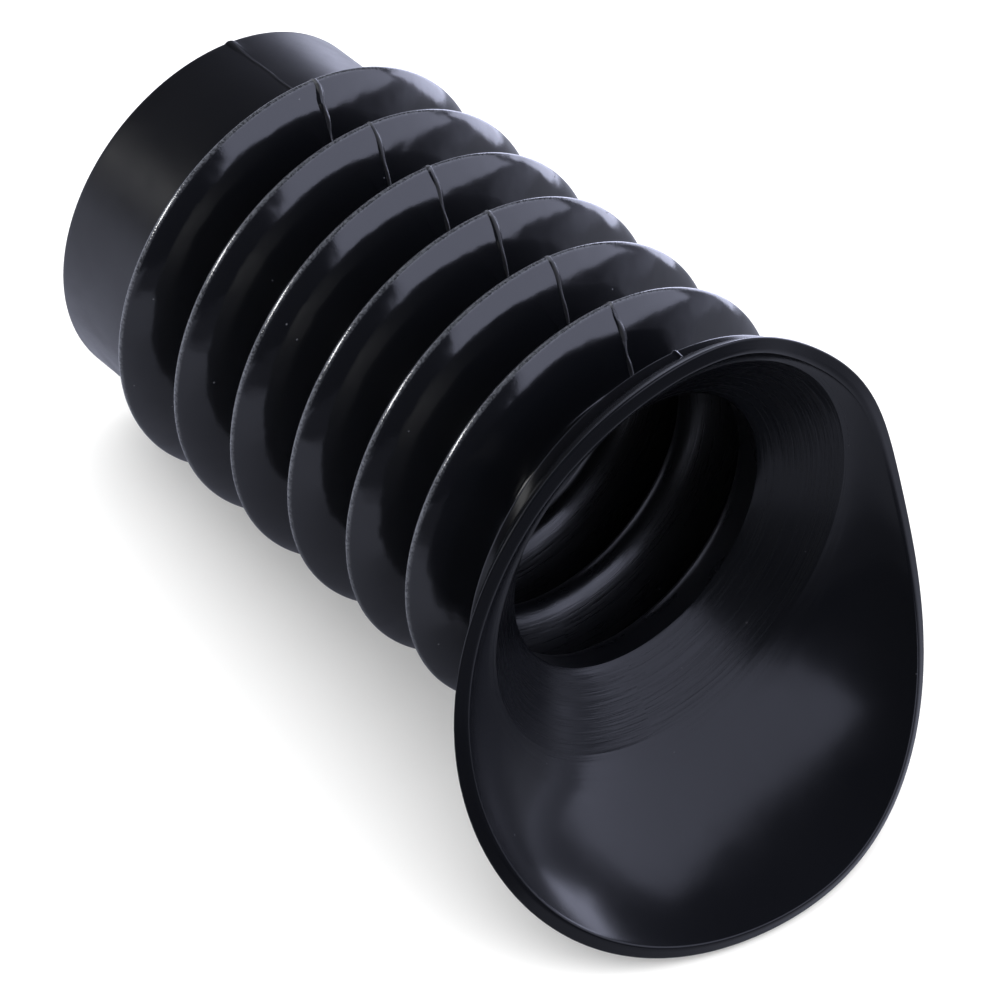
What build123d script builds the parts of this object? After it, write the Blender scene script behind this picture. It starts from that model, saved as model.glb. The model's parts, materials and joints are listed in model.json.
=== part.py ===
from build123d import *
from math import cos, hypot, radians, sin
import os

# Folding rubber eye guard for a scope eyepiece: sleeve, six bellows folds and a winged eye cup.
# Lengths are millimetres. X runs along the bore, from the open end of the sleeve to the eye, +Z is up
# and the wing of the cup points down. The origin is the centre of the sleeve's end face.

# Mounting sleeve
SLEEVE_RADIUS = 22.6
BORE_RADIUS = 20.0
BORE_LENGTH = 10.5
STOP_RADIUS = 18.2
STOP_THICKNESS = 1.7

# Bellows
FOLDS = 6
FIRST_CREST_X = 15.4
FOLD_PITCH = 10.2
CREST_RADIUS = 26.0
CREST_HALF_WIDTH = 0.3
ROOT_RADIUS = 18.5
ROOT_BORE_RADIUS = 17.0
WALL = 1.1
FLANK_TOP = SLEEVE_RADIUS
FLANK_FOOT = 21.2
ROOT_FILLET = 0.9
CREST_FILLET = 0.2

# Cup shoulder: the flat cone that widens from the neck
NECK_X = 73.2
NECK_RADIUS = 18.9
NECK_BORE_RADIUS = 17.1
THROAT_X = 74.3
THROAT_RADIUS = 17.4
SHOULDER_FOOT = (74.2, 19.4)
SHOULDER_TOP = (76.4, 26.0)
SHIELD_X = 78.0
SHIELD_RADIUS = 25.9
CONE_X = 80.0
CONE_RADIUS = 24.7
CONE_RATE = (CONE_RADIUS - THROAT_RADIUS) / (CONE_X - THROAT_X)
SHIELD_BORE_RADIUS = THROAT_RADIUS + (SHIELD_X - THROAT_X) * CONE_RATE

# Rim of the shield, every 30 degrees from the tip of the wing round to the top of the cup:
# how far along X its inner edge lies, and its distance from the axis
RIM_STEP = 30
RIM_X = (102.7, 98.8, 88.6, 82.2, 80.9, 80.8, 81.8)
RIM_RADIUS = (34.9, 37.1, 35.4, 29.7, 27.0, 25.9, 27.0)
RIM_THICKNESS = 1.8
RIM_SETBACK = 0.5

FLANK_RUN = (FOLD_PITCH / 2 - CREST_HALF_WIDTH) / (CREST_RADIUS - ROOT_RADIUS)
WALL_ALONG_X = WALL * hypot(1, FLANK_RUN)


def crest_x(fold):
    """Place of a fold's crest, folds counted from 1 at the sleeve."""
    return FIRST_CREST_X + (fold - 1) * FOLD_PITCH


def outer_reach(radius):
    """Distance along X from a crest to the outer skin of its flank."""
    return CREST_HALF_WIDTH + (CREST_RADIUS - radius) * FLANK_RUN


def inner_reach(radius):
    """Distance along X from a crest to the inner skin of its flank."""
    return outer_reach(radius) - WALL_ALONG_X


def save(builder, name):
    builder.part.label = name
    export_step(builder.part, f"parts/{name}.step")


def turned(outline):
    """Solid of revolution about X from an outline of (x, radius) points."""
    with BuildPart() as turned_part:
        with BuildSketch(Plane.XY):
            with BuildLine():
                Polyline(*outline, close=True)
            make_face()
        revolve(axis=Axis.X)
    return turned_part


def mounting_sleeve():
    """Sleeve that stretches over the eyepiece, with the lip that stops the eyepiece inside."""
    stop_end = BORE_LENGTH + STOP_THICKNESS
    first = crest_x(1)
    return turned([
        (0, BORE_RADIUS),
        (0, SLEEVE_RADIUS),
        (first - outer_reach(FLANK_TOP), FLANK_TOP),
        (first - inner_reach(FLANK_TOP), FLANK_TOP),
        (stop_end, BORE_RADIUS),
        (stop_end, STOP_RADIUS),
        (BORE_LENGTH, STOP_RADIUS),
        (BORE_LENGTH, BORE_RADIUS),
    ])


def crest(fold):
    """Thin outer edge of a fold, where its two flanks meet and hinge."""
    centre = crest_x(fold)
    foot_out = outer_reach(FLANK_TOP)
    foot_in = inner_reach(FLANK_TOP)
    apex_radius = FLANK_TOP + foot_in / FLANK_RUN
    with BuildPart() as ring:
        with BuildSketch(Plane.XY) as section:
            with BuildLine():
                Polyline(
                    (centre - foot_out, FLANK_TOP),
                    (centre - CREST_HALF_WIDTH, CREST_RADIUS),
                    (centre + CREST_HALF_WIDTH, CREST_RADIUS),
                    (centre + foot_out, FLANK_TOP),
                    (centre + foot_in, FLANK_TOP),
                    (centre, apex_radius),
                    (centre - foot_in, FLANK_TOP),
                    close=True,
                )
            make_face()
            fillet(section.vertices().group_by(Axis.Y)[-1], CREST_FILLET)
        revolve(axis=Axis.X)
    return ring


def flank(fold, side):
    """Conical wall of a fold: side -1 faces the sleeve, side +1 faces the eye."""
    centre = crest_x(fold)
    return turned([
        (centre + side * outer_reach(FLANK_TOP), FLANK_TOP),
        (centre + side * outer_reach(FLANK_FOOT), FLANK_FOOT),
        (centre + side * inner_reach(FLANK_FOOT), FLANK_FOOT),
        (centre + side * inner_reach(FLANK_TOP), FLANK_TOP),
    ])


def root(fold):
    """Rounded valley between a fold and the next one, which opens and closes."""
    start = crest_x(fold)
    middle = start + FOLD_PITCH / 2
    after = crest_x(fold + 1)
    half_flat = middle - start - inner_reach(ROOT_BORE_RADIUS)
    with BuildPart() as web:
        with BuildSketch(Plane.XY) as section:
            with BuildLine():
                Polyline(
                    (start + outer_reach(FLANK_FOOT), FLANK_FOOT),
                    (middle, ROOT_RADIUS),
                    (after - outer_reach(FLANK_FOOT), FLANK_FOOT),
                    (after - inner_reach(FLANK_FOOT), FLANK_FOOT),
                    (middle + half_flat, ROOT_BORE_RADIUS),
                    (middle - half_flat, ROOT_BORE_RADIUS),
                    (start + inner_reach(FLANK_FOOT), FLANK_FOOT),
                    close=True,
                )
            make_face()
            valley = section.vertices().sort_by_distance((middle, ROOT_RADIUS))[0]
            fillet(valley, ROOT_FILLET)
        revolve(axis=Axis.X)
    return web


def last_root():
    """Valley between the last fold and the neck of the cup."""
    start = crest_x(FOLDS)
    middle = start + FOLD_PITCH / 2
    return turned([
        (start + outer_reach(FLANK_FOOT), FLANK_FOOT),
        (middle, ROOT_RADIUS),
        (NECK_X, NECK_RADIUS),
        (NECK_X, NECK_BORE_RADIUS),
        (start + inner_reach(ROOT_BORE_RADIUS), ROOT_BORE_RADIUS),
        (start + inner_reach(FLANK_FOOT), FLANK_FOOT),
    ])


def cup_shoulder():
    """Neck and flat cone that carry the shield."""
    return turned([
        (NECK_X, NECK_BORE_RADIUS),
        (NECK_X, NECK_RADIUS),
        SHOULDER_FOOT,
        SHOULDER_TOP,
        (SHIELD_X, SHIELD_RADIUS),
        (SHIELD_X, SHIELD_BORE_RADIUS),
        (THROAT_X, THROAT_RADIUS),
    ])


def ring_edge(places, radii):
    """Closed smooth edge round the axis, from its X and its radius at each step from wing to top."""
    points = []
    for step, (x, radius) in enumerate(zip(places, radii)):
        turn = radians(step * RIM_STEP)
        points.append((x, radius * sin(turn), -radius * cos(turn)))
    mirrored = [(x, -across, up) for x, across, up in reversed(points[1:-1])]
    with BuildLine() as ring:
        Spline(*points, *mirrored, periodic=True)
    return ring.edge()


def circle_edge(x, radius):
    """Closed edge of constant radius, drawn the same way as the rim so that the two can be joined."""
    count = len(RIM_X)
    return ring_edge([x] * count, [radius] * count)


def eye_shield():
    """Winged shield: a thin flare, long below and short above, that ends in a curved rim."""
    rings = [
        circle_edge(SHIELD_X, SHIELD_RADIUS),
        ring_edge([x - RIM_SETBACK for x in RIM_X], [radius + RIM_THICKNESS for radius in RIM_RADIUS]),
        ring_edge(RIM_X, RIM_RADIUS),
        circle_edge(CONE_X, CONE_RADIUS),
        circle_edge(SHIELD_X, SHIELD_BORE_RADIUS),
    ]
    walls = [
        Face.make_surface_from_curves(ring, following)
        for ring, following in zip(rings, rings[1:] + rings[:1])
    ]
    with BuildPart() as shield:
        add(Solid(Shell(walls)))
    return shield


os.makedirs("parts", exist_ok=True)

save(mounting_sleeve(), "mounting_sleeve")
for number in range(1, FOLDS + 1):
    if number > 1:
        save(flank(number, -1), f"fold_{number}_rear_flank")
    save(crest(number), f"fold_{number}_crest")
    save(flank(number, 1), f"fold_{number}_front_flank")
    if number < FOLDS:
        save(root(number), f"root_{number}")
save(last_root(), f"root_{FOLDS}")
save(cup_shoulder(), "cup_shoulder")
save(eye_shield(), "eye_shield")
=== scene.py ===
"""Folding rubber eye guard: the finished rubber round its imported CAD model.

Lengths are metres in the model's own frame: X along the bore from the sleeve to the eye, +Z up.
Outlines are lists of (x, radius) points that are turned about X. Every piece keeps its place in its
mesh. The visible skins are cut where the folds flex, so that each one bends across a single joint.
"""

import json
from math import atan2, cos, exp, hypot, pi, radians, sin
from random import Random

import bpy
from bpy.props import FloatProperty, FloatVectorProperty, PointerProperty
from mathutils import Matrix, Vector
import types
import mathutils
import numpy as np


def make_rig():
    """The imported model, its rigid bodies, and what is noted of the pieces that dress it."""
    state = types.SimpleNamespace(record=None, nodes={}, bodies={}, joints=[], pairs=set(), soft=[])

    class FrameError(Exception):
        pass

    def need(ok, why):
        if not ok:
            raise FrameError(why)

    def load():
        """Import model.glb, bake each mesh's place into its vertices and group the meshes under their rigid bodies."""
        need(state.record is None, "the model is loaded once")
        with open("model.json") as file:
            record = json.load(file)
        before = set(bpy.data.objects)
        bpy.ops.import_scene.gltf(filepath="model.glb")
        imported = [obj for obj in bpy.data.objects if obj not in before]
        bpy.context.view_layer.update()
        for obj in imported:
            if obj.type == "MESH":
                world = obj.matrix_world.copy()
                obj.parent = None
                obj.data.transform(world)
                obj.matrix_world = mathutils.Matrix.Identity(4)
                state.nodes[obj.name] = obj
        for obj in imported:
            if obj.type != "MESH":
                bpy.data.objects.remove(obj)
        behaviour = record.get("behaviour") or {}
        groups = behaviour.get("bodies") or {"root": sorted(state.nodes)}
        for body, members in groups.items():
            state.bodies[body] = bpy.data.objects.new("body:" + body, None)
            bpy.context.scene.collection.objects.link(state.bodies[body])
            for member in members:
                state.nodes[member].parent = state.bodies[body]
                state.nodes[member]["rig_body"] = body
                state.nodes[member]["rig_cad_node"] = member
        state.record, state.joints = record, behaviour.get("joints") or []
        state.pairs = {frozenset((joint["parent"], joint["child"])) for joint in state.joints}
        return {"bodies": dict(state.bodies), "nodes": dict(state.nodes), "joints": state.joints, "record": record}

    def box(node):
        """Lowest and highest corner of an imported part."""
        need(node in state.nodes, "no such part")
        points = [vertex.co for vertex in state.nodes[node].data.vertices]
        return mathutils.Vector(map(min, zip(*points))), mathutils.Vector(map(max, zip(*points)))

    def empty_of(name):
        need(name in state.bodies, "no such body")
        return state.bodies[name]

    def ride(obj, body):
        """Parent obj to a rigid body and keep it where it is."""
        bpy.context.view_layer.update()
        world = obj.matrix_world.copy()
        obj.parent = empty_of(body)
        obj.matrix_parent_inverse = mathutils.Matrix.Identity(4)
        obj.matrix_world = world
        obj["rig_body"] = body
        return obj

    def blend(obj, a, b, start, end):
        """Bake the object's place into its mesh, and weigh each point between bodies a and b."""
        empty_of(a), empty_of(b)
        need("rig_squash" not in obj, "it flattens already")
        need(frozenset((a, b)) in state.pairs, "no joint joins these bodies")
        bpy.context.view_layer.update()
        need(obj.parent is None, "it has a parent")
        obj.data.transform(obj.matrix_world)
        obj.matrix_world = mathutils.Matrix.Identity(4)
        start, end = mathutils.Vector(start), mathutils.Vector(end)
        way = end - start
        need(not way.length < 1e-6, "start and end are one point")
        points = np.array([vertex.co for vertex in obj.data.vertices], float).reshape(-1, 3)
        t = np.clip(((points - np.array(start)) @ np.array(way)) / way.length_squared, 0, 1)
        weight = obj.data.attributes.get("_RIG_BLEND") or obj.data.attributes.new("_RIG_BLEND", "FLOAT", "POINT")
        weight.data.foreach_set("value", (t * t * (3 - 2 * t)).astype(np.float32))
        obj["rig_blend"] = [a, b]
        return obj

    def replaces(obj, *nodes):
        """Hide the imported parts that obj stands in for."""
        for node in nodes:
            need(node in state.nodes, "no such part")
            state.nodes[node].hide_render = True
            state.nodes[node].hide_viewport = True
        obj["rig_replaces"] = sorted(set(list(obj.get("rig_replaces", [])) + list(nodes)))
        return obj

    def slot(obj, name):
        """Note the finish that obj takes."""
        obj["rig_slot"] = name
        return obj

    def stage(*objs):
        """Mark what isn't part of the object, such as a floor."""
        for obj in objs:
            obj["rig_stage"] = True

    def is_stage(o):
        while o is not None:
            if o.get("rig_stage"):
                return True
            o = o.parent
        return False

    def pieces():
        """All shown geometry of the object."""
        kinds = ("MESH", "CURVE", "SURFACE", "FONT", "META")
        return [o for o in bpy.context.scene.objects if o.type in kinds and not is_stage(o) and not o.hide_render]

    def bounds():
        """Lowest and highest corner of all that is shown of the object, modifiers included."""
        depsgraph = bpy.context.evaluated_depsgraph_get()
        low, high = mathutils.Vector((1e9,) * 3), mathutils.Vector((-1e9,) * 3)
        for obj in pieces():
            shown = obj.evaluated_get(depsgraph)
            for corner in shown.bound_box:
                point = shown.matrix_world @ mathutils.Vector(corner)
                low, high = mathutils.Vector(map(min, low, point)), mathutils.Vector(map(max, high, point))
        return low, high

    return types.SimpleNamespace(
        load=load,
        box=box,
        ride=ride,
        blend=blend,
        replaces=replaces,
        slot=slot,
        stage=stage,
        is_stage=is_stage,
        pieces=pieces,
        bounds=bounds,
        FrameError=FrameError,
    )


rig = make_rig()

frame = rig.load()
CAD_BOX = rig.bounds()

bl_info = {
    "name": "Folding Eye Guard",
    "version": (1, 0, 0),
    "blender": (4, 5, 0),
    "location": "3D View > Sidebar > Eye Guard",
    "description": "Models the moulded rubber of a folding eye guard round its CAD frame",
    "category": "Add Mesh",
}

MM = 0.001
FOLDS = 6
LOW, HIGH = 0, 1
X, Z = 0, 2


def middle(node, axis):
    """Centre of a CAD node along one axis."""
    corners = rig.box(node)
    return (corners[LOW][axis] + corners[HIGH][axis]) / 2


SOCKET = next(mount["dims"] for mount in frame["record"]["mounts"] if mount["name"] == "eyepiece_socket")
FIRST_CREST = middle("fold_1_crest", X)
PITCH = middle("fold_2_crest", X) - FIRST_CREST
HALF_PITCH = PITCH / 2
CUT = PITCH / 4                                  # from a crest to the cuts on both sides of it
CREST_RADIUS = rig.box("fold_1_crest")[HIGH][Z]
SLEEVE_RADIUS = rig.box("mounting_sleeve")[HIGH][Z]
LAST_CREST = FIRST_CREST + (FOLDS - 1) * PITCH
SHIELD_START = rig.box("eye_shield")[LOW][X]

ROOT_RADIUS = 18.5 * MM
WALL = 1.1 * MM
FLEX = 1.5 * MM                                  # reach of the bending at a crest
FLANK_BEND = 2.5 * MM                            # from a crest to where its flank stops growing steeper
FLANK_FOOT = 4.0 * MM                            # from a crest to where its flank rounds into the valley
TIP_SPAN = 0.3 * MM                              # half the stretch of closely spaced places over a crest
CREST_GAP = 0.12 * MM                            # inner faces stop this far from the plane of the crest
BORE_RADIUS = SOCKET["r_mm"] * MM
BORE_LENGTH = SOCKET["length_mm"] * MM
STOP_RADIUS = 18.2 * MM
STOP_THICKNESS = 1.7 * MM
STOP_ROUND = 0.2 * MM
STOP_FOOT = 0.8 * MM                             # from the bore out to where the stop's front face ends

# Where the last valley ends, the throat of the cup, the crease round its cone and its outer ridge
NECK_END = (74.0 * MM, 19.3 * MM)
NECK_BORE = 17.25 * MM
THROAT = (74.3 * MM, 17.4 * MM)
CREASE = (80.0 * MM, 24.7 * MM)
RIDGE = (76.9 * MM, 26.2 * MM)
SHIELD_FOOT = (SHIELD_START, 26.0 * MM)

# Inner edge of the rim every 30 degrees, from the tip of the wing round to the top of the cup
RIM_X = [x * MM for x in (102.7, 98.8, 88.6, 82.2, 80.9, 80.8, 81.8)]
RIM_RADIUS = [r * MM for r in (34.9, 37.1, 35.4, 29.7, 27.0, 25.9, 27.0)]
RIM_SETBACK = 0.5 * MM
RIM_LEAD = 0.3 * MM                              # the inner bevel starts this far before the rim
RIM_CORNER = 0.35 * MM                           # how far the rim's outer corner is rounded along its face
RIM_SHANK = 0.45 * MM                            # how far the same corner is rounded down the outside

# Offsets from the neck's end to where the shoulder bends and starts to rise, and how far its ridge is
# rounded off on both sides
NECK_BEND = (0.25 * MM, 0.16 * MM)
NECK_RISE = (0.5 * MM, 1.2 * MM)
RIDGE_REAR_ROUND = 0.4 * MM
RIDGE_FRONT_ROUND = 0.35 * MM

# Mould seam
SEAM_WANDER = 0.9 * MM                           # length over which the seam wanders from side to side
LEAF_HEIGHT = 3.0                                # tallest leaf of flash, in seam heights
SLEEVE_SEAM_SHARE = 0.5                          # height of the sleeve's seam, as a share of the folds'

# Steps round the axis: the seam strips at the top and the bottom are finer than the sides
SEAM_STRIP = radians(2.0)
SEAM_STEPS = 20
SIDE_STEPS = 88
SHIELD_STEPS = 300
MERGE = 1e-7

SOFT_BLUE = (0.88, 0.92, 1.2)                    # colour of the light in the room
WHITE = (1, 1, 1)


# ---------------------------------------------------------------------------------------------------
# Settings
# ---------------------------------------------------------------------------------------------------

class EyeGuardBellows(bpy.types.PropertyGroup):
    tip_reach: FloatProperty(name="Tip Reach", description="Half the width of a crest's rounded tip",
                             default=0.3 * MM, unit="LENGTH", subtype="DISTANCE")
    tip_slope: FloatProperty(name="Tip Slope", description="Fall of the flank beside the tip",
                             default=0.9)
    seam_height: FloatProperty(name="Seam Height", description="Height of the mould seam on the folds",
                               default=0.12 * MM, unit="LENGTH", subtype="DISTANCE")
    seam_width: FloatProperty(name="Seam Width", description="Half the width of the mould seam",
                              default=0.2 * MM, unit="LENGTH", subtype="DISTANCE")
    roughness: FloatProperty(name="Roughness", description="Roughness of the glossy folds",
                             default=0.13, subtype="FACTOR")


class EyeGuardSleeve(bpy.types.PropertyGroup):
    edge_round: FloatProperty(name="Edge Round", description="Radius of the sleeve's open edge",
                              default=0.35 * MM, unit="LENGTH", subtype="DISTANCE")
    join_round: FloatProperty(name="Join Round", description="Reach of the fillet to the first fold",
                              default=0.8 * MM, unit="LENGTH", subtype="DISTANCE")
    roughness: FloatProperty(name="Roughness", description="Roughness of the satin sleeve",
                             default=0.36, subtype="FACTOR")


class EyeGuardCup(bpy.types.PropertyGroup):
    rim_thickness: FloatProperty(name="Rim Thickness", description="Thickness of the shield at its rim",
                                 default=1.8 * MM, unit="LENGTH", subtype="DISTANCE")
    rim_bevel: FloatProperty(name="Rim Bevel", description="Width of the bevel inside the rim",
                             default=0.6 * MM, unit="LENGTH", subtype="DISTANCE")
    bowl: FloatProperty(name="Bowl", description="How far the flare bows out, as a share of its length",
                        default=0.15, subtype="FACTOR")
    roughness: FloatProperty(name="Roughness", description="Roughness of the cup",
                             default=0.21, subtype="FACTOR")


class EyeGuardStage(bpy.types.PropertyGroup):
    rubber: FloatVectorProperty(name="Rubber", description="Colour of the black rubber",
                                default=(0.0018, 0.002, 0.0028), subtype="COLOR", min=0, max=1)
    azimuth: FloatProperty(name="Azimuth", description="Direction of the camera round +Z",
                           default=radians(-42.61), unit="ROTATION", subtype="ANGLE")
    elevation: FloatProperty(name="Elevation", description="Height of the camera as an angle",
                             default=radians(37.71), unit="ROTATION", subtype="ANGLE")
    roll: FloatProperty(name="Roll", description="Lean of the camera about its own axis",
                        default=radians(-4.875), unit="ROTATION", subtype="ANGLE")
    distance: FloatProperty(name="Distance", description="From the camera to what it looks at",
                            default=0.65876, unit="LENGTH", subtype="DISTANCE")
    aim: FloatVectorProperty(name="Aim", description="What the camera looks at, from the CAD box's centre",
                             default=(5.6 * MM, -4.8 * MM, -0.24 * MM), unit="LENGTH", subtype="XYZ")
    lens: FloatProperty(name="Lens", description="Focal length of the camera in millimetres", default=216)


# ---------------------------------------------------------------------------------------------------
# Outlines
# ---------------------------------------------------------------------------------------------------

def spread(start, end, steps):
    """Evenly spaced numbers from start to end, both included."""
    return [start + (end - start) * step / steps for step in range(steps + 1)]


def round_max(a, b, reach):
    """The larger of two numbers, rounded off where they are less than reach apart."""
    gap = max(reach - abs(a - b), 0)
    return max(a, b) + gap * gap / (4 * reach)


def arc(centre, radius, start, end, steps=5):
    """Points of an arc in the outline plane; angles are measured from +X towards the outside."""
    return [(centre[0] + radius * cos(turn), centre[1] + radius * sin(turn))
            for turn in spread(start, end, steps)]


def curve(a, b, c, t):
    """Point of the curve from a to c that is drawn towards b, at a share t of the way."""
    return a * (1 - t) ** 2 + b * 2 * t * (1 - t) + c * t ** 2


def curve_points(a, b, c, steps):
    """Evenly spaced points of a curve, both ends included."""
    return [tuple(curve(a, b, c, t)) for t in spread(0, 1, steps)]


def fold_skin(offset, bellows):
    """Radius of the folds' outer skin at an offset along X from a crest.

    The tip is round, the flank grows steeper until the bend, runs straight to the foot, and rounds
    out into the valley.
    """
    offset = abs(offset)
    if offset > HALF_PITCH:
        offset = PITCH - offset
    tip, slope = bellows.tip_reach, bellows.tip_slope
    if offset < tip:
        return CREST_RADIUS - slope * offset ** 2 / (2 * tip)
    shoulder = CREST_RADIUS - slope * tip / 2
    bending, straight, rounding = FLANK_BEND - tip, FLANK_FOOT - FLANK_BEND, HALF_PITCH - FLANK_FOOT
    steepest = ((shoulder - ROOT_RADIUS - slope * bending / 2)
                / (bending / 2 + straight + rounding / 2))
    if offset < FLANK_BEND:
        run = offset - tip
        return shoulder - run * (slope + (steepest - slope) * run / (2 * bending))
    bend_radius = shoulder - bending * (slope + steepest) / 2
    if offset < FLANK_FOOT:
        return bend_radius - steepest * (offset - FLANK_BEND)
    return ROOT_RADIUS + steepest * (HALF_PITCH - offset) ** 2 / (2 * rounding)


def under(skin, x):
    """Point of the inner face straight under a point of the skin, one wall thickness in."""
    step = 0.01 * MM
    slope = (skin(x + step) - skin(x - step)) / (2 * step)
    return x + WALL * slope / hypot(1, slope), skin(x) - WALL / hypot(1, slope)


def wall_outline(skin, places, crest=None):
    """Closed outline of a wall of even thickness, whose inner faces meet under the crest, if any."""
    inner = [under(skin, x) for x in places]
    if crest is not None:
        rear = [point for x, point in zip(places, inner) if x < crest and point[0] < crest - CREST_GAP]
        front = [point for x, point in zip(places, inner) if x > crest and point[0] > crest + CREST_GAP]
        apex = (crest, max(rear[-1][1], front[0][1]) + CREST_GAP / 2)
        inner = [*rear, apex, *front]
    return [(x, skin(x)) for x in places] + inner[::-1]


def crest_places(crest):
    """Places along X of a fold's skin, closer together over its tip."""
    rear, tip, front = spread(-CUT, -TIP_SPAN, 14), spread(-TIP_SPAN, TIP_SPAN, 10), spread(TIP_SPAN, CUT, 14)
    return [crest + offset for offset in rear[:-1] + tip + front[1:]]


def shoulder_outline():
    """Closed outline of the cup's shoulder: up from the neck, over the ridge, and back down the cone."""
    neck, foot, ridge = Vector(NECK_END), Vector(SHIELD_FOOT), Vector(RIDGE)
    crease, throat = Vector(CREASE), Vector(THROAT)
    rise_start = Vector((NECK_END[0] + NECK_RISE[0], NECK_END[1] + NECK_RISE[1]))
    rise_end = ridge + (rise_start - ridge).normalized() * RIDGE_REAR_ROUND
    crown_end = ridge + (foot - ridge).normalized() * RIDGE_FRONT_ROUND
    neck_bend = Vector((NECK_END[0] + NECK_BEND[0], NECK_END[1] + NECK_BEND[1]))
    outline = curve_points(neck, neck_bend, rise_start, 6)
    outline += [tuple(rise_start.lerp(rise_end, t)) for t in spread(0.05, 0.95, 8)]
    outline += curve_points(rise_end, ridge, crown_end, 8)
    outline += [tuple(crown_end.lerp(foot, t)) for t in (0.5, 1)]
    outline += [tuple(crease.lerp(throat, t)) for t in spread(0, 0.84, 18)]
    outline += curve_points(crease.lerp(throat, 0.86), throat, Vector((NECK_END[0], NECK_BORE)), 10)
    return outline


def harmonics(values):
    """Cosine terms of a symmetric curve given at even steps over half a turn."""
    last = len(values) - 1
    ends = [0.5 if step in (0, last) else 1 for step in range(last + 1)]
    return [
        2 / last * ends[term] * sum(
            ends[step] * value * cos(term * step * pi / last) for step, value in enumerate(values))
        for term in range(last + 1)
    ]


RIM_X_TERMS = harmonics(RIM_X)
RIM_RADIUS_TERMS = harmonics(RIM_RADIUS)


def rim_place(turn):
    """(x, radius) of the rim's inner edge at a turn from the tip of the wing."""
    return (sum(term * cos(count * turn) for count, term in enumerate(RIM_X_TERMS)),
            sum(term * cos(count * turn) for count, term in enumerate(RIM_RADIUS_TERMS)))


def shield_section(turn, cup):
    """Closed section of the shield at a turn from the tip of the wing; all have equally many points."""
    rim = Vector(rim_place(turn))
    crease = Vector(CREASE)
    foot = Vector(SHIELD_FOOT)
    chord = rim - crease
    bow = Vector((-chord.y, chord.x)) * cup.bowl
    flare = crease.lerp(rim, 0.5) + bow
    lead = (rim - flare).normalized()
    face = Vector((-RIM_SETBACK, cup.rim_thickness)).normalized()
    outer = rim + Vector((-RIM_SETBACK, cup.rim_thickness))
    back = (foot - outer).normalized()
    inner_end = rim - lead * RIM_LEAD
    bevel_end = rim + face * cup.rim_bevel
    face_end = outer - face * RIM_CORNER
    side_start = outer + back * RIM_SHANK
    side = side_start.lerp(foot, 0.5) + 0.8 * bow

    points = [curve(crease, flare, inner_end, t) for t in (0, 0.015, *spread(0.05, 0.95, 18), 0.985, 1)]
    points += [curve(inner_end, rim, bevel_end, t) for t in (0.12, 0.3, 0.5, 0.7, 0.88, 1)]
    points += [bevel_end.lerp(face_end, t) for t in (0.06, 0.5, 0.94, 1)]
    points += [curve(face_end, outer, side_start, t) for t in (0.15, 0.32, 0.5, 0.68, 0.85, 1)]
    points += [curve(side_start, side, foot, t) for t in (0.05, 0.15, 0.3, 0.4, 0.5, 0.6, 0.7, 0.85, 0.95, 1)]
    return [tuple(point) for point in points]


# ---------------------------------------------------------------------------------------------------
# Modelling
# ---------------------------------------------------------------------------------------------------

def draw_outline(name, outline):
    """New piece, left in edit mode, with a closed outline drawn in the XY plane point by point."""
    bpy.ops.object.select_all(action="DESELECT")
    bpy.ops.mesh.primitive_plane_add(size=MM)
    piece = bpy.context.object
    piece.name = piece.data.name = name
    bpy.ops.object.mode_set(mode="EDIT")
    bpy.ops.mesh.select_mode(type="VERT")
    bpy.ops.mesh.select_all(action="SELECT")
    bpy.ops.mesh.merge(type="CENTER")
    bpy.ops.transform.translate(value=(*outline[0], 0))
    pen = outline[0]
    for point in outline[1:] + outline[:1]:
        step = (point[0] - pen[0], point[1] - pen[1], 0)
        bpy.ops.mesh.extrude_vertices_move(TRANSFORM_OT_translate={"value": step})
        pen = point
    bpy.ops.mesh.select_all(action="SELECT")
    bpy.ops.mesh.remove_doubles(threshold=MERGE)
    return piece


def close_turn(smooth=radians(30)):
    """Joins the ends of a full turn, points its faces outwards and shades it."""
    bpy.ops.mesh.select_all(action="SELECT")
    bpy.ops.mesh.remove_doubles(threshold=MERGE)
    bpy.ops.mesh.normals_make_consistent(inside=False)
    bpy.ops.object.mode_set(mode="OBJECT")
    bpy.ops.object.shade_smooth_by_angle(angle=smooth)


def turn_piece(name, outline):
    """Closed ring of an outline turned about X, with fine steps across the seams at top and bottom."""
    piece = draw_outline(name, outline)
    quarter = pi / 2 - SEAM_STRIP
    seam = (2 * SEAM_STRIP, SEAM_STEPS)
    for angle, steps in ((quarter, SIDE_STEPS // 2), seam, (2 * quarter, SIDE_STEPS), seam,
                         (quarter, SIDE_STEPS // 2)):
        bpy.ops.mesh.spin(steps=steps, angle=angle, center=(0, 0, 0), axis=(1, 0, 0))
    close_turn()
    return piece


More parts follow.
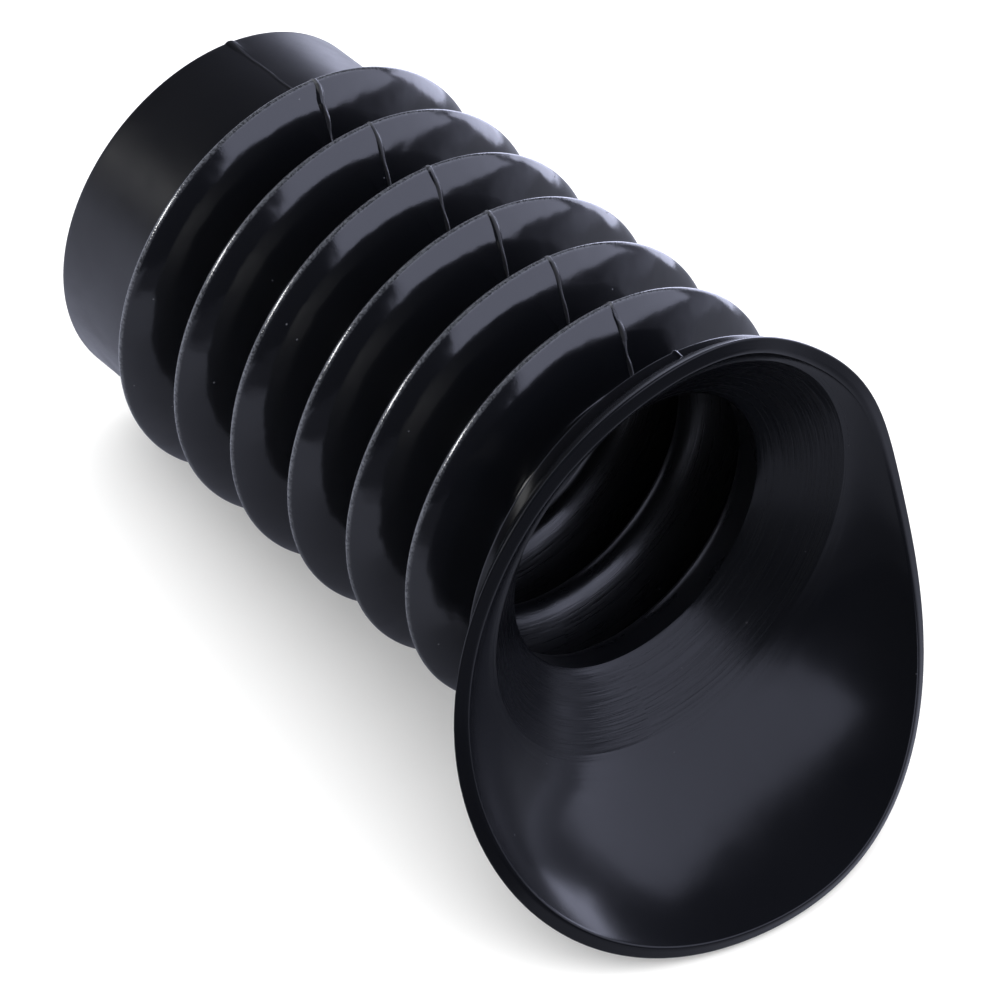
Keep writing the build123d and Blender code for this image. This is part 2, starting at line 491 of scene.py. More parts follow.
def turn_shield(cup):
    """Shield spun from one section, whose points are then moved to the section of their own turn."""
    shield = draw_outline("shield_skin", shield_section(0, cup))
    bpy.ops.object.mode_set(mode="OBJECT")
    station = shield.data.attributes.new("station", "INT", "POINT")
    station.data.foreach_set("value", range(len(shield.data.vertices)))
    bpy.ops.object.mode_set(mode="EDIT")
    bpy.ops.mesh.select_all(action="SELECT")
    bpy.ops.mesh.spin(steps=SHIELD_STEPS, angle=2 * pi, center=(0, 0, 0), axis=(1, 0, 0))
    bpy.ops.object.mode_set(mode="OBJECT")
    sections = [shield_section(2 * pi * step / SHIELD_STEPS, cup) for step in range(SHIELD_STEPS)]
    for vertex, mark in zip(shield.data.vertices, shield.data.attributes["station"].data):
        turn = atan2(vertex.co.y, -vertex.co.z)
        step = round(turn * SHIELD_STEPS / (2 * pi)) % SHIELD_STEPS
        x, radius = sections[step][mark.value]
        turn = 2 * pi * step / SHIELD_STEPS
        vertex.co = (x, radius * sin(turn), -radius * cos(turn))
    shield.data.attributes.remove(shield.data.attributes["station"])
    bpy.ops.object.mode_set(mode="EDIT")
    close_turn(radians(40))
    return shield


def copy_along(master, name, distance):
    """Copy of a piece with its own mesh, moved along X inside the mesh."""
    bpy.ops.object.select_all(action="DESELECT")
    master.select_set(True)
    bpy.context.view_layer.objects.active = master
    bpy.ops.object.duplicate()
    piece = bpy.context.object
    piece.name = piece.data.name = name
    bpy.ops.object.mode_set(mode="EDIT")
    bpy.ops.mesh.select_all(action="SELECT")
    bpy.ops.transform.translate(value=(distance, 0, 0))
    bpy.ops.object.mode_set(mode="OBJECT")
    return piece


def swell(piece, height, weight):
    """Raises a piece's skin by height times the weight that a function gives each point."""
    bpy.ops.object.select_all(action="DESELECT")
    piece.select_set(True)
    bpy.context.view_layer.objects.active = piece
    group = piece.vertex_groups.new(name="raised")
    for vertex in piece.data.vertices:
        share = weight(vertex.co)
        if share > 0.01:
            group.add([vertex.index], min(share, 1), "REPLACE")
    modifier = piece.modifiers.new("raised", "DISPLACE")
    modifier.vertex_group = group.name
    modifier.strength = height
    modifier.mid_level = 0
    bpy.ops.object.modifier_apply(modifier=modifier.name)
    piece.vertex_groups.clear()


def mark_inside(piece, skin):
    """Marks the points of a piece that are well below its skin, for the duller inner face."""
    inside = piece.data.attributes.new("inside", "FLOAT", "POINT")
    inside.data.foreach_set("value", [
        1.0 if hypot(vertex.co.y, vertex.co.z) < skin(vertex.co.x) - WALL / 2 else 0.0
        for vertex in piece.data.vertices])


def bell(distance):
    """Smooth bump of height 1 that is almost nothing at a distance of 2."""
    return exp(-distance * distance)


def seam_weight(seed, low, centre, width, outside, leaf=1.0):
    """Weight of the mould seam: a thin wandering ridge with a leaf of flash at the top and the bottom.

    It starts at x = low, its leaves are near x = centre, and it only covers points at least as far out
    as outside(x). leaf makes the leaves larger.
    """
    chance = Random(seed)
    leaves = []
    for side in (1, -1):
        leaves.append((side, chance.uniform(-0.6, 1.2) * MM, chance.uniform(0.7, 1.5) * MM,
                       leaf * chance.uniform(0.6, 1.4), chance.uniform(0.05, 0.2) * MM, chance.uniform(0, 6)))

    def weight(place):
        radius = hypot(place.y, place.z)
        if radius < outside(place.x) or place.x < low:
            return 0
        for side, at, length, growth, wander, phase in leaves:
            if place.z * side > 0:
                middle_line = wander * sin(phase + (radius - place.x) / SEAM_WANDER)
                across = radius * atan2(place.y, abs(place.z)) - middle_line
                size = 1 + growth * bell((place.x - centre - at) / length)
                reach = width * size
                return max(0, 1 - (across / reach) ** 2) * size / LEAF_HEIGHT if abs(across) < reach else 0
        return 0

    return weight


def just_under(skin, depth):
    """Radius a little below a skin, as a function of x."""
    return lambda x: skin(x) - depth


# ---------------------------------------------------------------------------------------------------
# Operators
# ---------------------------------------------------------------------------------------------------

class EYEGUARD_OT_sleeve(bpy.types.Operator):
    """Models the plain sleeve that stretches over an eyepiece, with the stop lip inside it"""
    bl_idname = "eye_guard.sleeve"
    bl_label = "Mounting Sleeve"

    def execute(self, context):
        sleeve, bellows = context.scene.eye_guard_sleeve, context.scene.eye_guard_bellows
        end = FIRST_CREST - CUT
        stop_end = BORE_LENGTH + STOP_THICKNESS
        edge = sleeve.edge_round

        def skin(x):
            return round_max(SLEEVE_RADIUS, fold_skin(x - FIRST_CREST, bellows), sleeve.join_round)

        outline = arc((edge, BORE_RADIUS + edge), edge, -pi / 2, -pi)
        outline += arc((edge, SLEEVE_RADIUS - edge), edge, pi, pi / 2)
        outline += [(x, SLEEVE_RADIUS) for x in spread(0.8 * MM, end - 1.2 * MM, 8)]
        outline += [(x, skin(x)) for x in spread(end - 1.0 * MM, end, 6)]
        outline += [under(skin, end), (stop_end, BORE_RADIUS + STOP_FOOT)]
        outline += arc((stop_end - STOP_ROUND, STOP_RADIUS + STOP_ROUND), STOP_ROUND, 0, -pi / 2, 4)
        outline += arc((BORE_LENGTH + STOP_ROUND, STOP_RADIUS + STOP_ROUND), STOP_ROUND, -pi / 2, -pi, 4)
        outline += [(BORE_LENGTH, BORE_RADIUS)]
        piece = turn_piece("sleeve_skin", outline)
        swell(piece, SLEEVE_SEAM_SHARE * LEAF_HEIGHT * bellows.seam_height, seam_weight(
            11, 0.1 * MM, 0.3 * MM, bellows.seam_width, lambda x: SLEEVE_RADIUS - 0.2 * MM, leaf=1.8))
        finish_piece(piece, sleeve_rubber(sleeve.roughness), "sleeve_rubber")
        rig.ride(piece, "sleeve")
        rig.replaces(piece, "mounting_sleeve")
        return {"FINISHED"}


class EYEGUARD_OT_bellows(bpy.types.Operator):
    """Models the six folds and the valleys between them, cut so that each bends across one joint"""
    bl_idname = "eye_guard.bellows"
    bl_label = "Bellows"

    def execute(self, context):
        sleeve, bellows = context.scene.eye_guard_sleeve, context.scene.eye_guard_bellows
        rubber = bellows_rubber(bellows.roughness)
        second = FIRST_CREST + PITCH

        def first_skin(x):
            fold = fold_skin(x - FIRST_CREST, bellows)
            return round_max(SLEEVE_RADIUS, fold, sleeve.join_round) if x < FIRST_CREST - CUT / 2 else fold

        def skin(x):
            return fold_skin((x - FIRST_CREST) % PITCH, bellows)

        def last_skin(x):
            bottom = LAST_CREST + HALF_PITCH
            if x < bottom:
                return skin(x)
            return ROOT_RADIUS + (NECK_END[1] - ROOT_RADIUS) * ((x - bottom) / (NECK_END[0] - bottom)) ** 2

        first_fold = wall_outline(first_skin, crest_places(FIRST_CREST), FIRST_CREST)
        fold_2 = wall_outline(skin, crest_places(second), second)
        valley = wall_outline(skin, spread(FIRST_CREST + CUT, second - CUT, 26))
        folds = {1: turn_piece("fold_1_skin", first_fold), 2: turn_piece("fold_2_skin", fold_2)}
        valleys = {1: turn_piece("valley_1_skin", valley)}
        for fold in range(3, FOLDS + 1):
            folds[fold] = copy_along(folds[2], f"fold_{fold}_skin", (fold - 2) * PITCH)
        for fold in range(2, FOLDS):
            valleys[fold] = copy_along(valleys[1], f"valley_{fold}_skin", (fold - 1) * PITCH)
        last = spread(LAST_CREST + CUT, NECK_END[0], 26)
        inner = [under(last_skin, x) for x in last if x < LAST_CREST + HALF_PITCH]
        outline = [(x, last_skin(x)) for x in last] + [(NECK_END[0], NECK_BORE)] + inner[::-1]
        valleys[FOLDS] = turn_piece(f"valley_{FOLDS}_skin", outline)

        for fold in range(1, FOLDS + 1):
            crest = FIRST_CREST + (fold - 1) * PITCH
            whole_skin = first_skin if fold == 1 else last_skin
            for piece in (folds[fold], valleys[fold]):
                swell(piece, LEAF_HEIGHT * bellows.seam_height, seam_weight(
                    40 + fold, 0, crest + CUT / 2, bellows.seam_width, just_under(whole_skin, 0.05 * MM),
                    leaf=2.2 if fold == 1 else 1.0))
                mark_inside(piece, whole_skin)
                finish_piece(piece, rubber, "bellows_rubber")
            rear = "sleeve" if fold == 1 else f"fold_{fold}_rear"
            front = f"fold_{fold}_front"
            after = "eye_cup" if fold == FOLDS else f"fold_{fold + 1}_rear"
            ends = [(rear, (crest - FLEX, 0, 0)), (front, (crest + FLEX, 0, 0))]
            if fold % 2:
                ends.reverse()                   # odd folds nod, and pose best when bent from the front
            (from_body, start), (to_body, end) = ends
            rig.blend(folds[fold], from_body, to_body, start=start, end=end)
            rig.replaces(folds[fold], f"fold_{fold}_crest", f"fold_{fold}_front_flank")
            if fold > 1:
                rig.replaces(folds[fold], f"fold_{fold}_rear_flank")
            valley_end = NECK_END[0] if fold == FOLDS else crest + PITCH - CUT
            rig.blend(valleys[fold], front, after, start=(crest + CUT, 0, 0), end=(valley_end, 0, 0))
            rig.replaces(valleys[fold], f"root_{fold}")
        return {"FINISHED"}


class EYEGUARD_OT_cup(bpy.types.Operator):
    """Models the shoulder and cone of the cup, and the winged shield round them"""
    bl_idname = "eye_guard.cup"
    bl_label = "Eye Cup"

    def execute(self, context):
        cup, bellows = context.scene.eye_guard_cup, context.scene.eye_guard_bellows
        rubber = cup_rubber(cup.roughness)

        shoulder = turn_piece("cup_skin", shoulder_outline())
        swell(shoulder, LEAF_HEIGHT * bellows.seam_height, seam_weight(
            71, NECK_END[0], RIDGE[0], bellows.seam_width,
            lambda x: NECK_END[1] - 0.1 * MM + (x - NECK_END[0]) * 1.6))
        finish_piece(shoulder, rubber, "cup_rubber")
        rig.ride(shoulder, "eye_cup")
        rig.replaces(shoulder, "cup_shoulder")

        shield = turn_shield(cup)
        finish_piece(shield, rubber, "cup_rubber")
        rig.ride(shield, "eye_cup")
        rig.replaces(shield, "eye_shield")
        return {"FINISHED"}


def finish_piece(piece, material, slot):
    """Gives a piece its rubber, the record's material slot and the place where each point rests."""
    rest_place = piece.data.attributes.new("rest_place", "FLOAT_VECTOR", "POINT")
    rest_place.data.foreach_set("vector", [axis for vertex in piece.data.vertices for axis in vertex.co])
    piece.data.materials.clear()
    piece.data.materials.append(material)
    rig.slot(piece, slot)


# ---------------------------------------------------------------------------------------------------
# Rubber
# ---------------------------------------------------------------------------------------------------

def fill_inputs(tree, node, inputs):
    """Links a node's inputs where a socket is given, and sets them where a value is."""
    for socket, value in inputs.items():
        if isinstance(value, bpy.types.NodeSocket):
            tree.links.new(value, node.inputs[socket])
        else:
            node.inputs[socket].default_value = value


def add_node(tree, kind, inputs=None, **settings):
    """Adds a node, sets it up, and sets or links its inputs."""
    node = tree.nodes.new(kind)
    for name, value in settings.items():
        setattr(node, name, value)
    fill_inputs(tree, node, inputs or {})
    return node


def maths(tree, operation, first, second=0.0):
    """Output of a Math node."""
    return add_node(tree, "ShaderNodeMath", {0: first, 1: second}, operation=operation).outputs[0]


def ramp(tree, value, low, high, to_low=0.0, to_high=1.0, kind="SMOOTHSTEP"):
    """Output of a Map Range node, clamped to its ends."""
    return add_node(tree, "ShaderNodeMapRange", {
        "Value": value, "From Min": low, "From Max": high, "To Min": to_low, "To Max": to_high,
    }, interpolation_type=kind).outputs["Result"]


def start_group(name, inputs, outputs):
    """New shader node group with named sockets, then the sockets to read from and to write to."""
    group = bpy.data.node_groups.new(name, "ShaderNodeTree")
    for direction, sockets in (("INPUT", inputs), ("OUTPUT", outputs)):
        for socket, kind in sockets.items():
            group.interface.new_socket(name=socket, in_out=direction, socket_type=kind)
    return group, group.nodes.new("NodeGroupInput").outputs, group.nodes.new("NodeGroupOutput").inputs


FLOAT, VECTOR = "NodeSocketFloat", "NodeSocketVector"


def axis_place_group():
    """Place round the bore's axis: how far along it, how far from it, and the turn round it."""
    group, given, result = start_group("Axis Place", {"Vector": VECTOR},
                                       {"Along": FLOAT, "Radius": FLOAT, "Turn": FLOAT})
    split = add_node(group, "ShaderNodeSeparateXYZ", {"Vector": given["Vector"]}).outputs
    squares = [maths(group, "MULTIPLY", split[axis], split[axis]) for axis in ("Y", "Z")]
    group.links.new(split["X"], result["Along"])
    group.links.new(maths(group, "SQRT", maths(group, "ADD", *squares)), result["Radius"])
    group.links.new(maths(group, "ARCTAN2", split["Y"], split["Z"]), result["Turn"])
    return group


def moulded_skin_group():
    """What every moulded face shows: fine grain, slow swells, dull blotches and small specks."""
    group, given, result = start_group(
        "Moulded Skin", {"Vector": VECTOR, "Grain Scale": FLOAT, "Swell Scale": FLOAT, "Speck Scale": FLOAT},
        {"Grain": FLOAT, "Swell": FLOAT, "Blotch": FLOAT, "Specks": FLOAT})
    grain = add_node(group, "ShaderNodeTexNoise", {
        "Vector": given["Vector"], "Scale": given["Grain Scale"], "Detail": 2.0, "Roughness": 0.6})
    swell_noise = add_node(group, "ShaderNodeTexNoise", {
        "Vector": given["Vector"], "Scale": given["Swell Scale"], "Detail": 1.5, "Roughness": 0.45})
    blotch = add_node(group, "ShaderNodeTexNoise", {
        "Vector": given["Vector"], "Scale": 130.0, "Detail": 4.0, "Roughness": 0.6, "Distortion": 0.4})
    cells = add_node(group, "ShaderNodeTexVoronoi", {
        "Vector": given["Vector"], "Scale": given["Speck Scale"]})
    kept = maths(group, "GREATER_THAN", add_node(
        group, "ShaderNodeSeparateColor", {"Color": cells.outputs["Color"]}).outputs["Red"], 0.985)
    dot = ramp(group, cells.outputs["Distance"], 0.16, 0.07)
    group.links.new(grain.outputs[0], result["Grain"])
    group.links.new(swell_noise.outputs[0], result["Swell"])
    group.links.new(blotch.outputs[0], result["Blotch"])
    group.links.new(maths(group, "MULTIPLY", dot, kept), result["Specks"])
    return group


def turning_marks_group():
    """Fine rings that the turned mould left, broken up round the axis."""
    group, given, result = start_group("Turning Marks", {
        "Radius": FLOAT, "Turn": FLOAT, "Spacing": FLOAT, "Break": FLOAT}, {"Marks": FLOAT})
    place = add_node(group, "ShaderNodeCombineXYZ", {
        "X": maths(group, "DIVIDE", given["Radius"], given["Spacing"]),
        "Y": maths(group, "MULTIPLY", given["Turn"], given["Break"])})
    noise = add_node(group, "ShaderNodeTexNoise", {
        "Vector": place.outputs[0], "Scale": 1.0, "Detail": 3.0, "Roughness": 0.65})
    group.links.new(ramp(group, noise.outputs[0], 0.3, 0.7), result["Marks"])
    return group


def worn_and_sheen_edge_group():
    """Rubbed edge, which the bellows also tint as a painted highlight line: where a value passes a limit, broken up by
    the grain.
    """
    group, given, result = start_group("Worn And Sheen Edge", {
        "Value": FLOAT, "Start": FLOAT, "End": FLOAT, "Grain": FLOAT}, {"Wear And Sheen": FLOAT})
    reach = add_node(group, "ShaderNodeMapRange", {
        "Value": given["Value"], "From Min": given["Start"], "From Max": given["End"]})
    broken = ramp(group, given["Grain"], 0.35, 0.65, 0.25, 1.0)
    group.links.new(maths(group, "MULTIPLY", reach.outputs["Result"], broken), result["Wear And Sheen"])
    return group


GROUP_MAKERS = {"Axis Place": axis_place_group, "Moulded Skin": moulded_skin_group,
                "Turning Marks": turning_marks_group, "Worn And Sheen Edge": worn_and_sheen_edge_group}


def place_group(tree, name, inputs):
    """Outputs of a shared group, which is built the first time that it is used."""
    node = tree.nodes.new("ShaderNodeGroup")
    node.node_tree = bpy.data.node_groups.get(name) or GROUP_MAKERS[name]()
    fill_inputs(tree, node, inputs)
    return node.outputs


def start_rubber(name):
    """New material with the resting place of each point, and that place round the axis."""
    material = bpy.data.materials.new(name)
    material.use_nodes = True
    tree = material.node_tree
    tree.nodes.clear()
    vector = add_node(tree, "ShaderNodeAttribute", attribute_name="rest_place").outputs["Vector"]
    return material, tree, vector, place_group(tree, "Axis Place", {"Vector": vector})


def finish_rubber(tree, colour, roughness, height, relief, specular):
    """Principled rubber; relief is how deep the height's full range is."""
    bump = add_node(tree, "ShaderNodeBump", {"Strength": 1.0, "Distance": relief, "Height": height})
    shader = add_node(tree, "ShaderNodeBsdfPrincipled", {
        "Base Color": colour, "Roughness": roughness, "Specular IOR Level": specular,
        "Normal": bump.outputs["Normal"]})
    add_node(tree, "ShaderNodeOutputMaterial", {"Surface": shader.outputs["BSDF"]})


def tint(tree, share, dust_and_sheen):
    """The rubber's black, going to a grey where the share is 1: dust, and on the crests of the folds also a painted
    highlight.
    """
    return add_node(tree, "ShaderNodeMix", {
        "Factor": share, "A": (*bpy.context.scene.eye_guard_stage.rubber, 1), "B": (*dust_and_sheen, 1),
    }, data_type="RGBA").outputs["Result"]


def total(tree, *parts):
    """Sum of outputs, each with its weight."""
    result = None
    for value, weight in parts:
        part = maths(tree, "MULTIPLY", value, weight)
        result = part if result is None else maths(tree, "ADD", result, part)
    return result


def seam_line(tree, place, skin):
    """Dull line along the mould seam at the top and the bottom, broken up by the blotches."""
    turn = maths(tree, "ABSOLUTE", place["Turn"])
    across = maths(tree, "MULTIPLY", maths(tree, "MINIMUM", turn, maths(tree, "SUBTRACT", pi, turn)),
                   place["Radius"])
    wander = maths(tree, "MULTIPLY", skin["Blotch"], 0.25 * MM)
    return ramp(tree, maths(tree, "ADD", across, wander), 0.42 * MM, 0.24 * MM)


def sleeve_rubber(roughness):
    """Satin rubber with a fine grain and soft blotches."""
    material, tree, vector, place = start_rubber("sleeve_rubber")
    skin = place_group(tree, "Moulded Skin", {
        "Vector": vector, "Grain Scale": 5200.0, "Swell Scale": 150.0, "Speck Scale": 1000.0})
    seam = seam_line(tree, place, skin)
    rough = total(tree, (skin["Blotch"], 0.3), (skin["Grain"], 0.08), (skin["Specks"], 0.2), (seam, 0.4))
    height = total(tree, (skin["Grain"], 0.05), (skin["Swell"], 1.0), (skin["Specks"], 0.1))
    finish_rubber(tree, tint(tree, ramp(tree, skin["Specks"], 0, 1, 0, 0.5), (0.03, 0.03, 0.035)),
                  maths(tree, "ADD", rough, roughness - 0.19), height, 0.07 * MM, 0.42)
    return material


def bellows_rubber(roughness):
    """Glossy rubber, rubbed along the crests, where its grey tint also paints a highlight line, and a little wavy on
    the flanks.
    """
    material, tree, vector, place = start_rubber("bellows_rubber")
    skin = place_group(tree, "Moulded Skin", {
        "Vector": vector, "Grain Scale": 3800.0, "Swell Scale": 230.0, "Speck Scale": 1100.0})
    wear_and_sheen = place_group(tree, "Worn And Sheen Edge", {
        "Value": place["Radius"], "Start": CREST_RADIUS - 0.25 * MM, "End": CREST_RADIUS,
        "Grain": skin["Grain"]})["Wear And Sheen"]
    inside = add_node(tree, "ShaderNodeAttribute", attribute_name="inside").outputs["Fac"]
    marks = place_group(tree, "Turning Marks", {
        "Radius": place["Radius"], "Turn": place["Turn"], "Spacing": 0.25 * MM, "Break": 2.0})["Marks"]
    brushed = maths(tree, "MULTIPLY", marks, inside)
    outside = maths(tree, "SUBTRACT", 1.0, inside)
    seam = maths(tree, "MULTIPLY", seam_line(tree, place, skin), outside)
    twice_reflected = add_node(tree, "ShaderNodeLightPath").outputs["Is Glossy Ray"]
    rough = total(tree, (skin["Blotch"], 0.1), (wear_and_sheen, 0.05), (skin["Specks"], 0.3), (seam, 0.4),
                  (inside, 0.12), (brushed, 0.12), (twice_reflected, 0.4))
    height = total(tree, (skin["Grain"], 0.03), (skin["Swell"], 1.0), (skin["Specks"], 0.15), (wear_and_sheen, 0.06),
                   (brushed, 0.08))
    # The specks are dust; the grey along the crests is partly wear and partly a painted highlight line on each crest.
    dust_and_sheen = total(tree, (skin["Specks"], 0.6), (wear_and_sheen, 0.5))
    finish_rubber(tree, tint(tree, dust_and_sheen, (0.07, 0.074, 0.086)),
                  maths(tree, "ADD", rough, roughness - 0.05), height, 0.12 * MM, 0.5)
    return material


def cup_rubber(roughness):
    """Half-dull rubber with the mould's turning marks round the cone."""
    material, tree, vector, place = start_rubber("cup_rubber")
    skin = place_group(tree, "Moulded Skin", {
        "Vector": vector, "Grain Scale": 4600.0, "Swell Scale": 120.0, "Speck Scale": 1000.0})
    marks = place_group(tree, "Turning Marks", {
        "Radius": place["Radius"], "Turn": place["Turn"], "Spacing": 0.32 * MM, "Break": 1.3})["Marks"]
    inside = ramp(tree, place["Radius"], 28.5 * MM, 23.5 * MM)
    slope = (CREASE[0] - THROAT[0]) / (CREASE[1] - THROAT[1])
    cone_start = THROAT[0] - THROAT[1] * slope
    past_cone = maths(tree, "SUBTRACT", place["Along"], maths(tree, "MULTIPLY", place["Radius"], slope))
    eye_side = ramp(tree, past_cone, cone_start - 0.9 * MM, cone_start - 0.5 * MM)
    rings = maths(tree, "MULTIPLY", maths(tree, "MULTIPLY", marks, inside), eye_side)
    rough = total(tree, (skin["Blotch"], 0.12), (rings, 0.12), (skin["Specks"], 0.15))
    height = total(tree, (skin["Grain"], 0.04), (skin["Swell"], 1.0), (rings, 0.22), (skin["Specks"], 0.1))
    finish_rubber(tree, tint(tree, maths(tree, "MULTIPLY", skin["Specks"], 0.4), (0.03, 0.03, 0.035)),
                  maths(tree, "ADD", rough, roughness - 0.08), height, 0.06 * MM, 0.22)
    return material


# ---------------------------------------------------------------------------------------------------
# Stage
# ---------------------------------------------------------------------------------------------------

def direction(azimuth, elevation):
    """Unit vector towards a direction round +Z and above the horizon."""
    return Vector((cos(azimuth) * cos(elevation), sin(azimuth) * cos(elevation), sin(elevation)))


def add_softbox(name, centre, towards, distance, size, brightness, colour, receivers):
    """Area light that faces the object from an azimuth and elevation in degrees, and lights its receivers.

    brightness is its radiance. The camera doesn't see it.
    """
    place = centre + direction(*map(radians, towards)) * distance
    bpy.ops.object.select_all(action="DESELECT")
    bpy.ops.object.light_add(type="AREA", location=place)
    light = bpy.context.object
    light.name = light.data.name = name
    light.data.shape = "RECTANGLE"
    light.data.size, light.data.size_y = size
    light.data.energy = brightness * size[0] * size[1] * 4
    light.data.color = colour
    light.rotation_euler = (centre - place).to_track_quat("-Z", "Y").to_euler()
    light.visible_camera = False
    light.light_linking.receiver_collection = receivers


def studio_world():
    """Even white for the camera and the floor; reflections see a dark room with a pale backdrop."""
    world = bpy.data.worlds.new("studio")
    world.use_nodes = True
    world.cycles.sampling_method = "NONE"
    tree = world.node_tree
    tree.nodes.clear()
    split = add_node(tree, "ShaderNodeSeparateXYZ", {
        "Vector": add_node(tree, "ShaderNodeTexCoord").outputs["Generated"]}).outputs
    backdrop_x, backdrop_y = -0.74, 0.68         # towards the pale backdrop
    behind = maths(tree, "ADD", maths(tree, "MULTIPLY", split["X"], backdrop_x),
                   maths(tree, "MULTIPLY", split["Y"], backdrop_y))
    height = maths(tree, "MAXIMUM", split["Z"], 0.0)
    glow = maths(tree, "ADD", maths(tree, "MULTIPLY", maths(
        tree, "EXPONENT", maths(tree, "MULTIPLY", height, -4.2)), 1.1), 0.04)
    seen = maths(tree, "ADD", maths(tree, "MULTIPLY", glow, ramp(tree, behind, -0.25, 0.45)), 0.03)
    glossy = add_node(tree, "ShaderNodeLightPath").outputs["Is Glossy Ray"]
    even = 1.9                                   # strength of the even white
    strength = maths(tree, "ADD", even, maths(tree, "MULTIPLY", glossy, maths(tree, "SUBTRACT", seen, even)))
    colour = add_node(tree, "ShaderNodeMix", {
        "Factor": glossy, "A": (*WHITE, 1), "B": (*SOFT_BLUE, 1)}, data_type="RGBA").outputs["Result"]
    background = add_node(tree, "ShaderNodeBackground", {"Color": colour, "Strength": strength})
    add_node(tree, "ShaderNodeOutputWorld", {"Surface": background.outputs[0]})
    return world


def pale_paper(front):
    """Matt white paper; reflections see a painted colour on it: bluish grey, lighter near the sleeve, and a painted
    dark patch in front of the cup.
    """
    material = bpy.data.materials.new("pale_paper")
    material.use_nodes = True
    tree = material.node_tree
    tree.nodes.clear()
    split = add_node(tree, "ShaderNodeSeparateXYZ", {
        "Vector": add_node(tree, "ShaderNodeTexCoord").outputs["Object"]}).outputs
    # Painted reflection: the floor's colour for glossy rays only, lighter near the sleeve and with a painted dark
    # patch in front of the cup.
    ahead = ramp(tree, split["X"], front + 0.02, front + 0.08)
    aside = maths(tree, "SUBTRACT", maths(tree, "ABSOLUTE", maths(tree, "ADD", split["Y"], 0.01)),
                  maths(tree, "MULTIPLY", maths(tree, "SUBTRACT", split["X"], front), 0.8))
    beside = ramp(tree, aside, 0.16, 0.1)
    near_sleeve = ramp(tree, split["X"], 0.05, 0.0, 0.34, 0.6)
    painted_dark_patch = maths(tree, "MULTIPLY", maths(tree, "MULTIPLY", ahead, beside), 0.27)
    tone = maths(tree, "SUBTRACT", near_sleeve, painted_dark_patch)
    cast = {"Red": 0.92, "Green": 0.96, "Blue": 1.2}
    grey = add_node(tree, "ShaderNodeCombineColor", {
        channel: maths(tree, "MULTIPLY", tone, share) for channel, share in cast.items()}).outputs[0]
    colour = add_node(tree, "ShaderNodeMix", {
        "Factor": add_node(tree, "ShaderNodeLightPath").outputs["Is Glossy Ray"],
        "A": (0.92, 0.92, 0.92, 1), "B": grey}, data_type="RGBA").outputs["Result"]
    shader = add_node(tree, "ShaderNodeBsdfDiffuse", {"Color": colour})
    add_node(tree, "ShaderNodeOutputMaterial", {"Surface": shader.outputs[0]})
    return material


def add_floor(low, high):
    """Sheet of paper under the guard, tilted so that it touches the first crest and the wing."""
    bpy.ops.object.select_all(action="DESELECT")
    tilt = atan2(-CREST_RADIUS - low.z, high.x - FIRST_CREST)
    bpy.ops.mesh.primitive_plane_add(size=6, location=(high.x, 0, low.z), rotation=(0, tilt, 0))
    floor = bpy.context.object
    floor.name = floor.data.name = "pale_floor"
    bpy.ops.object.transform_apply(location=True, rotation=True, scale=False)
    floor.data.materials.append(pale_paper(high.x))
    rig.stage(floor)
    return floor


def add_lamps(centre, floor):
    """Lamps that only light the rubber; the strip is weaker for all pieces but the crests."""
    rubber = bpy.data.collections.new("all_rubber")
    crests = bpy.data.collections.new("crest_rubber")
    others = bpy.data.collections.new("other_rubber")
    for piece in bpy.data.objects:
        if piece.type == "MESH" and piece != floor:
            rubber.objects.link(piece)
            (crests if piece.name.startswith("fold_") else others).objects.link(piece)
    add_softbox("large_softbox", centre, towards=(34, 38), distance=0.7, size=(1.05, 0.66),
                brightness=1.9, colour=SOFT_BLUE, receivers=rubber)
    add_softbox("strip_lamp", centre, towards=(-108, 29), distance=0.7, size=(0.7, 0.12),
                brightness=30.0, colour=WHITE, receivers=crests)
    add_softbox("weak_strip_lamp", centre, towards=(-108, 29), distance=0.7, size=(0.7, 0.12),
                brightness=3.0, colour=WHITE, receivers=others)
    add_softbox("back_softbox", centre, towards=(107, 8), distance=0.25, size=(0.25, 0.12),
                brightness=4.0, colour=SOFT_BLUE, receivers=rubber)


def add_camera(centre, stage):
    """Camera that looks at a place beside the centre, leaning about its own axis."""
    out = direction(stage.azimuth, stage.elevation)
    place = centre + Vector(stage.aim) + out * stage.distance
    level = Vector((-sin(stage.azimuth), cos(stage.azimuth), 0))
    upright = out.cross(level)
    right = level * cos(stage.roll) - upright * sin(stage.roll)
    up = out.cross(right)
    bpy.ops.object.camera_add(location=place)
    camera = bpy.context.object
    camera.name = "view_camera"
    camera.matrix_world = Matrix.Translation(place) @ Matrix((right, up, out)).transposed().to_4x4()
    camera.data.lens = stage.lens
    camera.data.sensor_width = 36
    camera.data.clip_start = 0.05
    return camera


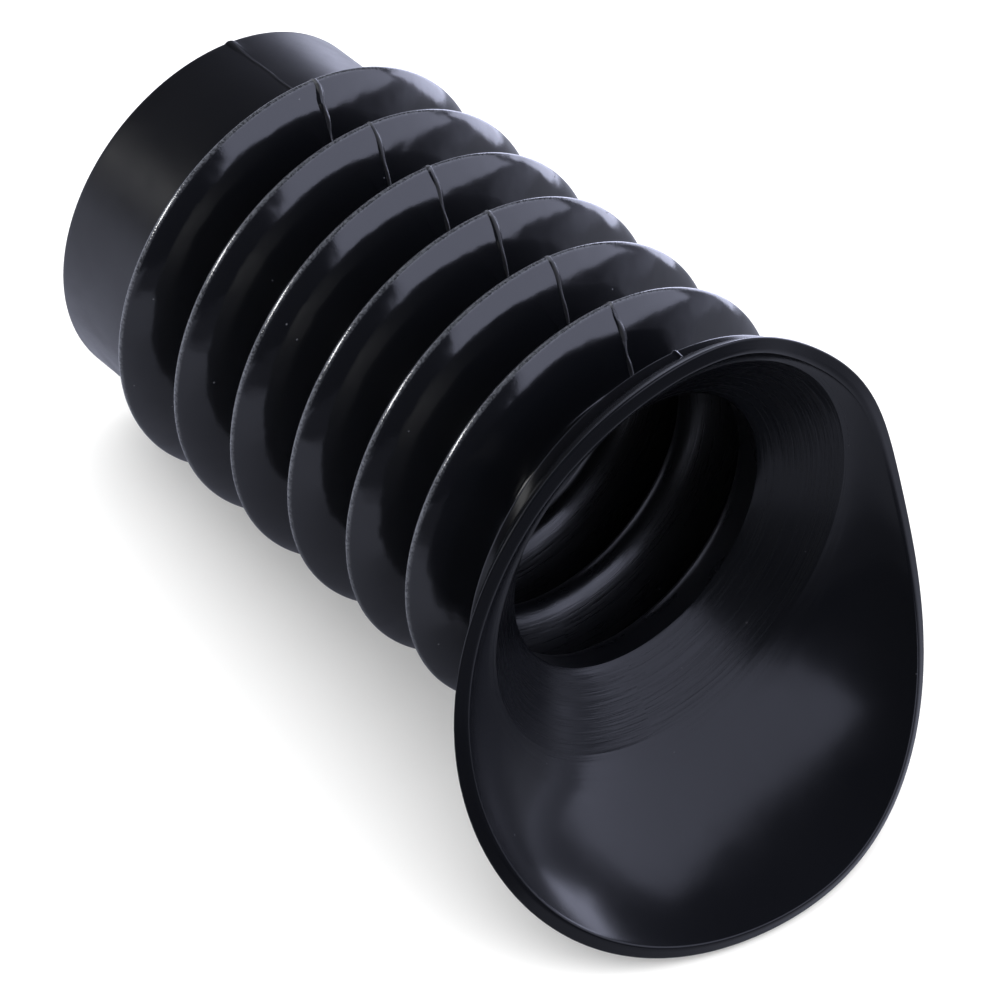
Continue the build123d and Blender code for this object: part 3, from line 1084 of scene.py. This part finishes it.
class EYEGUARD_OT_stage(bpy.types.Operator):
    """Sets up the pale floor, the soft lights and the camera"""
    bl_idname = "eye_guard.stage"
    bl_label = "Stage"

    def execute(self, context):
        low, high = (Vector(corner) for corner in CAD_BOX)
        centre = (low + high) / 2
        floor = add_floor(low, high)
        context.scene.world = studio_world()
        add_lamps(centre, floor)
        context.scene.camera = add_camera(centre, context.scene.eye_guard_stage)
        context.scene.view_settings.view_transform = "Standard"
        return {"FINISHED"}


class EYEGUARD_PT_panel(bpy.types.Panel):
    """Lists the pieces of the eye guard and the stage"""
    bl_idname = "EYEGUARD_PT_panel"
    bl_label = "Folding Eye Guard"
    bl_space_type = "VIEW_3D"
    bl_region_type = "UI"
    bl_category = "Eye Guard"

    def draw(self, context):
        for operator in OPERATORS:
            self.layout.operator(operator.bl_idname)
        for name in SETTINGS:
            group = getattr(context.scene, name)
            for field in group.bl_rna.properties.keys():
                if field not in ("rna_type", "name"):
                    self.layout.prop(group, field)


OPERATORS = (EYEGUARD_OT_sleeve, EYEGUARD_OT_bellows, EYEGUARD_OT_cup, EYEGUARD_OT_stage)
SETTINGS = {
    "eye_guard_sleeve": EyeGuardSleeve,
    "eye_guard_bellows": EyeGuardBellows,
    "eye_guard_cup": EyeGuardCup,
    "eye_guard_stage": EyeGuardStage,
}


def register():
    for name, group in SETTINGS.items():
        bpy.utils.register_class(group)
        setattr(bpy.types.Scene, name, PointerProperty(type=group))
    for item in (*OPERATORS, EYEGUARD_PT_panel):
        bpy.utils.register_class(item)


def unregister():
    for item in reversed((*OPERATORS, EYEGUARD_PT_panel)):
        bpy.utils.unregister_class(item)
    for name, group in SETTINGS.items():
        delattr(bpy.types.Scene, name)
        bpy.utils.unregister_class(group)


def main():
    """Builds the pieces and the stage, then writes the CAD box and the finished box."""
    register()
    bpy.ops.eye_guard.sleeve()
    bpy.ops.eye_guard.bellows()
    bpy.ops.eye_guard.cup()
    bpy.ops.eye_guard.stage()
    sizes = {"cad": [list(corner) for corner in CAD_BOX], "visual": [list(corner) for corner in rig.bounds()]}
    with open("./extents.json", "w") as size_file:
        json.dump(sizes, size_file)


if __name__ == "__main__":
    main()
